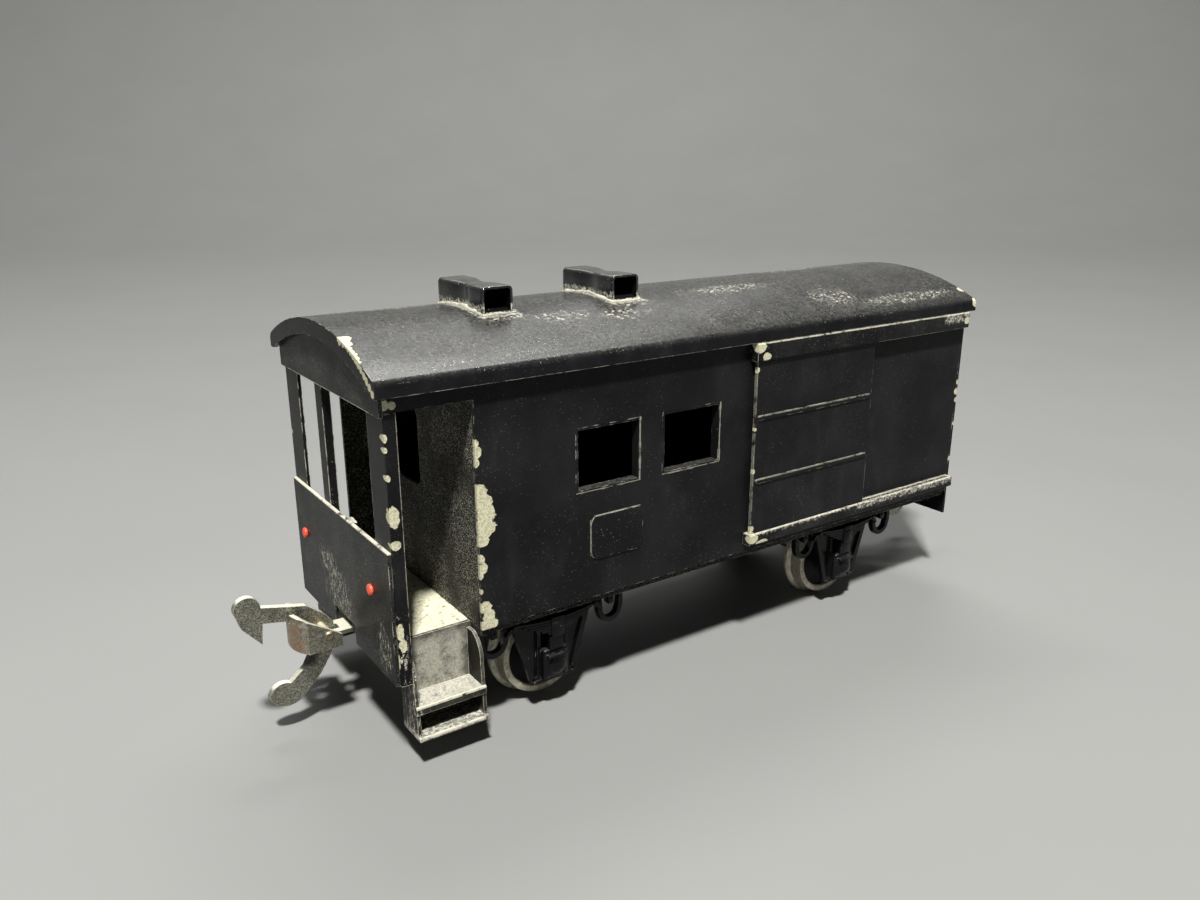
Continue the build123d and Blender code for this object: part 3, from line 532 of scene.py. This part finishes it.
def box(bm, low, high, bevel=0.0, segments=2):
    """A block between two corners with rounded edges."""
    made = bmesh.ops.create_cube(bm, size=1.0)["verts"]
    for v in made:
        v.co = Vector([(a + b) / 2 + c * (b - a) for a, b, c in zip(low, high, v.co)])
    if bevel:
        edges = {e for v in made for e in v.link_edges}
        bmesh.ops.bevel(bm, geom=list(edges), offset=bevel, segments=segments, profile=0.5, affect="EDGES")


def bar(bm, path, width, inner, outer, bevel=0.08):
    """A flat bar along a path of (x, z) points, its width across the path, from y = inner to y = outer."""
    left, right = [], []
    for i, (x, z) in enumerate(path):
        before, after = path[max(i - 1, 0)], path[min(i + 1, len(path) - 1)]
        along = Vector((after[0] - before[0], after[1] - before[1])).normalized()
        across = Vector((-along.y, along.x)) * width / 2
        left.append((x + across.x, z + across.y))
        right.append((x - across.x, z - across.y))
    solid(bm, left + right[::-1], inner, outer, bevel)


def solid(bm, outline, inner, outer, bevel=0.08, segments=1):
    """An outline in x and z made solid between two values of y."""
    near = [bm.verts.new((x, inner, z)) for x, z in outline]
    far = [bm.verts.new((x, outer, z)) for x, z in outline]
    count = len(outline)
    faces = [bm.faces.new(near), bm.faces.new(far[::-1])]
    for i in range(count):
        j = (i + 1) % count
        faces.append(bm.faces.new((near[j], near[i], far[i], far[j])))
    if bevel:
        rims = [e for f in faces[:2] for e in f.edges]
        bmesh.ops.bevel(bm, geom=rims, offset=bevel, segments=segments, profile=0.5, affect="EDGES")


def lathe(bm, profile, centre, segments=96, close=False):
    """Turns a profile of (y, radius, surface) about a line along Y through a centre (x, z)."""
    rings = []
    for y, radius, _ in profile:
        if radius < 1e-6:
            rings.append([bm.verts.new((centre[0], y, centre[1]))])
            continue
        ring = []
        for k in range(segments):
            turn = 2 * math.pi * k / segments
            across, up = radius * math.cos(turn), radius * math.sin(turn)
            ring.append(bm.verts.new((centre[0] + across, y, centre[1] + up)))
        rings.append(ring)
    pairs = list(zip(range(len(rings) - 1), range(1, len(rings))))
    if close:
        pairs.append((len(rings) - 1, 0))
    for a, b in pairs:
        for k in range(segments):
            m = (k + 1) % segments
            if len(rings[a]) == 1:
                corners = (rings[a][0], rings[b][k], rings[b][m])
            elif len(rings[b]) == 1:
                corners = (rings[a][k], rings[a][m], rings[b][0])
            else:
                corners = (rings[a][k], rings[a][m], rings[b][m], rings[b][k])
            face = bm.faces.new(corners)
            face.material_index = profile[a][2]


def rivet(bm, x, y, z, radius, out):
    """A round head standing out along Y; out is -1 or 1."""
    rows = [(0.0, 1.0), (0.35, 0.96), (0.62, 0.72), (0.75, 0.38), (0.78, 0.0)]
    lathe(bm, [(y + out * radius * t, radius * r, 0) for t, r in rows], (x, z), segments=14)


# ------------------------------------------------------------------ wheels
WHEELBASE = 49.0
WHEEL_Z = 6.0
ends = {"front": -WHEELBASE / 2, "rear": WHEELBASE / 2}
RIM, CENTRE = 0, 1      # surfaces
# half section of the left wheel: (distance from the middle of the van, radius)
flange = [(7.20, 4.40), (7.20, 5.72), (7.27, 5.90), (7.42, 5.99), (7.60, 6.00), (7.76, 5.95), (7.90, 5.78),
          (8.00, 5.52), (8.12, 5.36)]
tread = [(8.35, 5.31), (9.82, 5.22), (9.95, 5.18), (10.00, 5.08), (10.00, 4.52), (9.94, 4.42)]
front_web = [(9.62, 4.34), (9.22, 4.26), (9.10, 3.90), (9.02, 3.10), (9.06, 2.30), (9.22, 2.02),
             (9.70, 1.86)]
hub = [(10.18, 1.78), (10.28, 1.66), (10.30, 1.06), (10.30, 1.00), (6.90, 1.00), (6.90, 1.80)]
back_web = [(7.60, 1.96), (8.00, 2.30), (8.12, 3.10), (8.06, 3.90), (7.80, 4.30), (7.32, 4.38)]
wheel_profile = [(y, r, RIM) for y, r in flange + tread]
wheel_profile += [(y, r, CENTRE) for y, r in front_web + hub + back_web]
for end, x in ends.items():
    for side, sign in (("left", -1), ("right", 1)):
        bm = bmesh.new()
        lathe(bm, [(sign * y, r, s) for y, r, s in wheel_profile], (x, WHEEL_Z), close=True)
        name = f"{end}_{side}_wheel"
        surfaces = [material["wheel_nickel"], wheel_centre]
        to_object(f"{name}_turned", bm, surfaces, f"{end}_wheelset", (name,), sharp=28)

# ------------------------------------------------------------------ axle guards
GUARD_Y = 12.0          # back of the plate, from the middle of the van
PLATE = 0.6             # thickness of the legs and stays
WEB = 0.24              # thin web behind them
LEAF_COUNT = 6
LEAF_STEPS = 12
LEAF_THICKNESS = 0.27
LEAF_PITCH = 0.32
TOP_LEAF_HALF = 5.35
TOP_LEAF_Z = 11.86
LEAF_RISE = 0.52        # how much higher the ends of the top leaf stand than its middle
EYE = (5.45, 12.22)
HANGER_X = 7.95
HANGER_Z = 10.55
HANGER_STEPS = 12
AXLE_Z = 5.95           # middle of the axlebox cover


class Casting:
    """One axle guard under construction: x from the axle, depth outwards from the back of the plate."""

    def __init__(self, axle_x, sign):
        self.bm = bmesh.new()
        self.axle_x = axle_x
        self.sign = sign

    def y(self, depth):
        return self.sign * (GUARD_Y + depth)

    def place(self, points, half):
        return [(self.axle_x + half * x, z) for x, z in points]

    def outline(self, points, near, far, bevel=0.08, half=1):
        solid(self.bm, self.place(points, half), self.y(near), self.y(far), bevel)

    def strip(self, points, width, near, far, bevel=0.08, half=1):
        bar(self.bm, self.place(points, half), width, self.y(near), self.y(far), bevel)

    def block(self, half_width, heights, depths, bevel, segments=2, middle=0.0):
        x = self.axle_x + middle
        near, far = sorted(self.y(depth) for depth in depths)
        box(self.bm, (x - half_width, near, heights[0]), (x + half_width, far, heights[1]), bevel, segments)

    def head(self, x, z, depth, radius):
        rivet(self.bm, self.axle_x + x, self.y(depth), z, radius, self.sign)

    def turned(self, profile, x, z, segments):
        lathe(self.bm, [(self.y(depth), r, 0) for depth, r in profile], (self.axle_x + x, z), segments)


def guard_plate(casting):
    """Legs and slanting stays on a thin web, a keeper strap below and a flange under the floor."""
    web = [(-3.10, 4.10), (-5.25, 12.70), (5.25, 12.70), (3.10, 4.10)]
    leg = [(1.55, 3.75), (2.95, 3.75), (3.10, 4.30), (2.15, 4.30), (2.15, 12.60), (1.55, 12.60)]
    stay = [(2.75, 4.05), (3.55, 6.90), (4.40, 9.80), (5.25, 12.75)]
    casting.outline(web, 0, WEB, 0.05)
    for half in (1, -1):
        casting.outline(leg, 0, PLATE, half=half)
        casting.strip(stay, 0.72, 0, PLATE, half=half)
    casting.block(5.6, (11.3, 13.15), (0, PLATE), 0.07)
    casting.block(3.05, (3.62, 4.06), (0.05, 0.75), 0.08)
    for x in (-2.6, 2.6):
        casting.head(x, 3.84, 0.75, 0.2)
    for x in (-4.7, -3.3, 3.3, 4.7):
        casting.head(x, 11.75, 0.58, 0.2)
    casting.block(9.9, (12.55, 13.18), (0, 1.35), 0.08)


def leaf_spring(casting):
    """Leaves that get shorter downwards, with eyes at both ends and a buckle round the middle."""
    for leaf in range(LEAF_COUNT):
        reach = TOP_LEAF_HALF - 0.82 * leaf
        path = []
        for k in range(LEAF_STEPS + 1):
            x = reach * (2 * k / LEAF_STEPS - 1)
            path.append((x, TOP_LEAF_Z - LEAF_PITCH * leaf + LEAF_RISE * (x / TOP_LEAF_HALF) ** 2))
        casting.strip(path, LEAF_THICKNESS, 0.55, 1.72, 0.05)
    eye = [(0.5, 0), (0.5, 0.30), (0.56, 0.36), (1.74, 0.36), (1.80, 0.30), (1.80, 0)]
    for half in (1, -1):
        casting.turned(eye, half * EYE[0], EYE[1], segments=20)
    casting.block(0.85, (9.75, 12.30), (0.5, 1.92), 0.14)
    casting.block(0.62, (10.35, 11.60), (0.5, 2.05), 0.10)


def axlebox(casting):
    """Rounded box with a domed cover, a lid over it, a neck up to the spring and two bolts."""
    casting.block(1.72, (4.15, 8.05), (0.1, 1.45), 0.45, 5)
    casting.block(1.38, (4.60, 7.25), (1.0, 1.62), 0.28, 4)
    turns = [math.radians(7.5 * k) for k in range(12)]
    dome = [(1.38 + 0.78 * math.sin(turn), 1.28 * math.cos(turn)) for turn in turns] + [(2.16, 0.0)]
    casting.turned(dome, 0, AXLE_Z, segments=36)
    casting.block(1.42, (7.05, 7.48), (1.2, 2.04), 0.14, 3)
    casting.block(0.95, (7.90, 9.85), (0.4, 1.60), 0.16)
    for x in (-1.05, 1.05):
        casting.head(x, 4.45, 1.42, 0.17)


def hanger(casting, half):
    """A loop that hangs from the flange, with a lug in it and a link to the spring's eye."""
    loop = [(6.45, 12.7), (6.42, 11.2), (6.50, 10.5)]
    for k in range(HANGER_STEPS + 1):
        turn = math.radians(200 + 145 * k / HANGER_STEPS)
        loop.append((HANGER_X + 1.42 * math.cos(turn), HANGER_Z + 1.35 * math.sin(turn)))
    loop += [(9.42, 10.9), (9.46, 11.6), (9.46, 12.7)]
    casting.strip(loop, 0.62, 0.25, 1.10, 0.1, half)
    casting.block(0.42, (11.4, 12.7), (0.2, 1.25), 0.1, middle=half * HANGER_X)
    casting.strip([EYE, (6.15, 11.75), (6.50, 11.2)], 0.42, 0.7, 1.45, half=half)
    casting.head(half * HANGER_X, 12.05, 1.25, 0.2)
    casting.head(half * 6.45, 12.1, 1.10, 0.2)


for end, x in ends.items():
    for side, sign in (("left", -1), ("right", 1)):
        casting = Casting(x, sign)
        guard_plate(casting)
        leaf_spring(casting)
        axlebox(casting)
        for half in (1, -1):
            hanger(casting, half)
        name = f"{end}_{side}_axle_guard"
        surfaces = [material["casting_black"]]
        to_object(f"{name}_casting", casting.bm, surfaces, "carriage_body", (name,),
                  sharp=40)

# ------------------------------------------------------------------ ventilators and solder
ROOF_RADIUS = 36.0
ROOF_TOP = 46.7
VENT_HALF = 5.5
VENT_WIDTH = 3.9
VENT_WALL = 0.3
MOUTH_DEPTH = 2.1
WAIST_DEPTH = 0.5
WAIST_HALF = 3.1
VENT_RISE = 2.65        # crest above the top of the roof
VENT_SINK = 0.30        # how far the foot reaches into the roof
VENT_LIP = 0.12
VENT_STEPS = 24
BEAD_STEPS = 22
BEAD_CORNERS = 8
BEAD_GAP = 0.02         # how far the bead's middle lies outside the ventilator


def roof_height(y):
    return ROOF_TOP - ROOF_RADIUS + math.sqrt(ROOF_RADIUS ** 2 - y ** 2)


def vent_half_width(y):
    """Half the width of a ventilator: two hoods with a hollowed waist between them."""
    share = min(1.0, abs(y) / WAIST_HALF)
    return VENT_WIDTH / 2 - WAIST_DEPTH * math.cos(share * math.pi / 2) ** 2


def vent_crest(y):
    """Height of the flat crest, which dips slightly over the waist."""
    return ROOF_TOP + VENT_RISE - 0.12 * math.exp(-y * y / 2.5)


def hood_loop(half, low, high, radius, corner_steps=5):
    """A closed loop of (x, z): straight sides and rounded upper corners."""
    points = [(-half, low), (-half, (low + high) / 2)]
    for k in range(corner_steps + 1):
        turn = math.radians(180 - 90 * k / corner_steps)
        points.append((-half + radius + radius * math.cos(turn), high - radius + radius * math.sin(turn)))
    points.append((0.0, high))
    points += [(-x, z) for x, z in reversed(points[:-1])]
    return points


def bridge(bm, rows):
    for a, b in zip(rows, rows[1:]):
        for k in range(len(a)):
            m = (k + 1) % len(a)
            bm.faces.new((a[k], a[m], b[m], b[k]))


def ventilator(name, x0):
    """A hooded tunnel across the roof, open at both ends for a short way."""
    bm = bmesh.new()
    rows = []

    def row(y, inset, drop=0.0):
        half = vent_half_width(min(abs(y), VENT_HALF)) - inset
        low = roof_height(y) - VENT_SINK + drop
        loop = hood_loop(half, low, vent_crest(y) - inset, 0.55 - inset * 0.6)
        rows.append([bm.verts.new((x0 + x, y, z)) for x, z in loop])

    mouth = [(VENT_HALF - MOUTH_DEPTH, VENT_WALL, 0.75), (VENT_HALF - 0.05, VENT_WALL, 0.55),
             (VENT_HALF, 0.22, 0.45), (VENT_HALF, 0.10, 0.20), (VENT_HALF - 0.04, 0.04, 0.05)]
    reach = VENT_HALF - VENT_LIP
    for y, inset, drop in mouth:
        row(-y, inset, drop)
    for k in range(VENT_STEPS + 1):
        row(-reach + 2 * reach * k / VENT_STEPS, 0.0)
    for y, inset, drop in mouth[::-1]:
        row(y, inset, drop)
    bridge(bm, rows)
    bm.faces.new(rows[0])
    bm.faces.new(rows[-1][::-1])
    # the mouth's walls and the end of the recess carry the painted shade
    inner = {v for ring in rows[:2] + rows[-2:] for v in ring}
    for face in bm.faces:
        if all(v in inner for v in face.verts):
            face.material_index = 1
    surfaces = [material["vent_gloss"], mouth_painted_shade]
    to_object(f"{name}_hood", bm, surfaces, "carriage_body", (name,), sharp=50)


def bead_path(x0):
    """Points (x, y) round the foot of a ventilator."""
    path = []
    for k in range(BEAD_STEPS + 1):
        y = -VENT_HALF + 2 * VENT_HALF * k / BEAD_STEPS
        path.append((x0 - vent_half_width(y) - BEAD_GAP, y))
    far_end = [(x0 + x, VENT_HALF + BEAD_GAP) for x in (-1.0, 0.0, 1.0)]
    near_end = [(x0 + x, -VENT_HALF - BEAD_GAP) for x in (1.0, 0.0, -1.0)]
    return path + far_end + [(2 * x0 - x, y) for x, y in path[::-1]] + near_end


def solder_bead(name, x0):
    """Dusty fillet of solder that runs round the foot of a ventilator, thicker and thinner by turns."""
    bm = bmesh.new()
    path = bead_path(x0)
    rows = []
    for k, (x, y) in enumerate(path):
        before, after = path[k - 1], path[(k + 1) % len(path)]
        along = Vector((after[0] - before[0], after[1] - before[1])).normalized()
        outward = Vector((-along.y, along.x))
        size = 0.24 + 0.08 * math.sin(2.3 * k) + 0.06 * math.sin(0.9 * k + x0) + 0.04 * math.sin(5.1 * k)
        ring = []
        for m in range(BEAD_CORNERS):
            turn = 2 * math.pi * m / BEAD_CORNERS
            away, up = 1.35 * size * math.cos(turn), 0.85 * size * math.sin(turn)
            px, py = x + outward.x * away, y + outward.y * away
            ring.append(bm.verts.new((px, py, roof_height(py) + up)))
        rows.append(ring)
    bridge(bm, rows + rows[:1])
    to_object(f"{name}_solder", bm, [solder], "carriage_body", sharp=80)


for vent, x in vent_centres.items():
    ventilator(vent, x)
    solder_bead(vent, x)


def solder_lump(name, centre, size):
    """A small uneven blob left where a soldered piece has come away."""
    bm = bmesh.new()
    bmesh.ops.create_icosphere(bm, subdivisions=3, radius=1.0)
    for v in bm.verts:
        x, y, z = v.co
        waves = 0.16 * math.sin(4.1 * x + 1.0), 0.14 * math.sin(5.3 * y), 0.12 * math.sin(6.1 * z + 2.0)
        bulge = 1 + waves[0] + waves[1] + waves[2]
        v.co = Vector([c + bulge * t * r for c, t, r in zip(centre, v.co, size)])
    to_object(name, bm, [solder], "carriage_body", sharp=80)


# what is left where one of the middle posts has come off, at its foot and head
solder_lump("missing_post_solder", (-44.15, -3.6, 25.28), (0.30, 0.85, 0.16))
solder_lump("missing_post_solder_upper", (-44.22, -3.6, 39.30), (0.22, 0.70, 0.14))

# ------------------------------------------------------------------ floor, lights, camera
# in metres from here on
FLOOR_INNER = 0.8
FLOOR_FLAT = 1.6
FLOOR_SWEEP = 0.45
WALL_TOP = 1.9
FLOOR_CORNERS = 128
FLOOR_SHIFT = 1.05      # how far the floor's middle lies towards the camera
FLOOR_HEADING = 34.5
WALL_LIGHT_OUT = 0.35
WALL_LIGHT_HEIGHT = 1.6
WALL_LIGHT_REACH = 1.7
WALL_LIGHT_DROP = 1.2


def level(heading):
    """Level direction for a heading in degrees, measured from +Y towards +X."""
    turn = math.radians(heading)
    return Vector((math.sin(turn), math.cos(turn), 0))


def aim(obj, direction):
    obj.rotation_euler = direction.to_track_quat("-Z", "Y").to_euler()


def floor_profile():
    """Radius and height of each ring: flat, then swept up into the wall."""
    bends = [math.radians(degrees) for degrees in range(6, 91, 6)]
    sweep = [(FLOOR_FLAT + FLOOR_SWEEP * math.sin(bend), FLOOR_SWEEP - FLOOR_SWEEP * math.cos(bend))
             for bend in bends]
    return [(FLOOR_INNER, 0.0), (FLOOR_FLAT, 0.0)] + sweep + [(FLOOR_FLAT + FLOOR_SWEEP, WALL_TOP)]


def floor_material():
    g = Graph("floor_card")
    tone = g.mix(g.noise(0.02, 3.0), (0.185, 0.186, 0.184), (0.205, 0.206, 0.203))
    g.put(g.shader.inputs["Base Color"], tone)
    g.shader.inputs["Roughness"].default_value = 0.62
    g.shader.inputs["Specular IOR Level"].default_value = 0.25
    return g.material


def studio_floor():
    """A pale round floor that sweeps up into a wall all the way round."""
    bm = bmesh.new()
    middle = level(FLOOR_HEADING) * -FLOOR_SHIFT
    turns = [2 * math.pi * k / FLOOR_CORNERS for k in range(FLOOR_CORNERS)]
    rows = []
    for away, up in floor_profile():
        ring = [Vector((away * math.cos(turn), away * math.sin(turn), up)) for turn in turns]
        rows.append([bm.verts.new(middle + corner) for corner in ring])
    bm.faces.new(rows[0])
    bridge(bm, rows)
    bmesh.ops.recalc_face_normals(bm, faces=bm.faces)
    for face in bm.faces:
        face.smooth = True
    mesh = bpy.data.meshes.new("studio_floor")
    bm.to_mesh(mesh)
    bm.free()
    obj = bpy.data.objects.new("studio_floor", mesh)
    bpy.context.scene.collection.objects.link(obj)
    mesh.materials.append(floor_material())


def area_light(name, place, target, size, power, colour):
    data = bpy.data.lights.new(name, "AREA")
    data.shape = "RECTANGLE"
    data.size, data.size_y = size
    data.energy = power
    data.color = colour
    lamp = bpy.data.objects.new(name, data)
    lamp.location = place
    aim(lamp, Vector(target) - Vector(place))
    bpy.context.scene.collection.objects.link(lamp)


def wall_light(name, heading, power):
    """A soft cone from above the model that only reaches the wall and the far floor."""
    outward = level(heading)
    data = bpy.data.lights.new(name, "SPOT")
    data.energy = power
    data.spot_size = math.radians(100)
    data.spot_blend = 1.0
    data.shadow_soft_size = 0.1
    lamp = bpy.data.objects.new(name, data)
    lamp.location = outward * WALL_LIGHT_OUT + Vector((0, 0, WALL_LIGHT_HEIGHT))
    aim(lamp, outward * WALL_LIGHT_REACH - Vector((0, 0, WALL_LIGHT_DROP)))
    bpy.context.scene.collection.objects.link(lamp)


studio_floor()
MODEL_CENTRE = (0.0, 0.0, 0.025)
area_light("key", (-0.185, -0.27, 0.585), MODEL_CENTRE, (0.05, 0.05), 10.5, (1.0, 0.99, 0.95))
area_light("fill_left", (-0.60, 0.12, 0.22), MODEL_CENTRE, (0.35, 0.35), 0.10, (0.95, 0.98, 1.0))
area_light("back_top", (0.25, 0.55, 0.55), MODEL_CENTRE, (0.7, 0.35), 0.9, (1.0, 1.0, 1.0))
area_light("wall_wash", (0.42, 0.62, 1.25), (0.55, 0.80, 0.25), (0.9, 0.2), 14.0, (1.0, 1.0, 0.97))
wall_light("wall_left", -55.5, 50.0)
wall_light("wall_near", -145.5, 80.0)
wall_light("wall_right", 124.5, 120.0)

SKY_COLOUR = (0.86, 0.89, 0.92, 1)
SKY_STRENGTH = 0.09
world = bpy.data.worlds.new("studio")
world.use_nodes = True
sky = world.node_tree.nodes["Background"]
sky.inputs["Color"].default_value = SKY_COLOUR
sky.inputs["Strength"].default_value = SKY_STRENGTH
bpy.context.scene.world = world

CAMERA_PLACE = (-0.07768, -0.09977, 0.06367)
AZIMUTH = 34.54         # degrees, measured like a level heading
ELEVATION = math.radians(17.26)
ROLL = math.radians(-0.15)
camera_data = bpy.data.cameras.new("camera")
camera_data.sensor_width = 36.0
camera_data.lens = 29.06
camera_data.clip_start = 0.005
camera = bpy.data.objects.new("camera", camera_data)
camera.location = CAMERA_PLACE
aim(camera, level(AZIMUTH) * math.cos(ELEVATION) - Vector((0, 0, math.sin(ELEVATION))))
camera.rotation_euler.rotate_axis("Z", ROLL)
bpy.context.scene.collection.objects.link(camera)
bpy.context.scene.camera = camera
bpy.context.scene.view_settings.view_transform = "Standard"
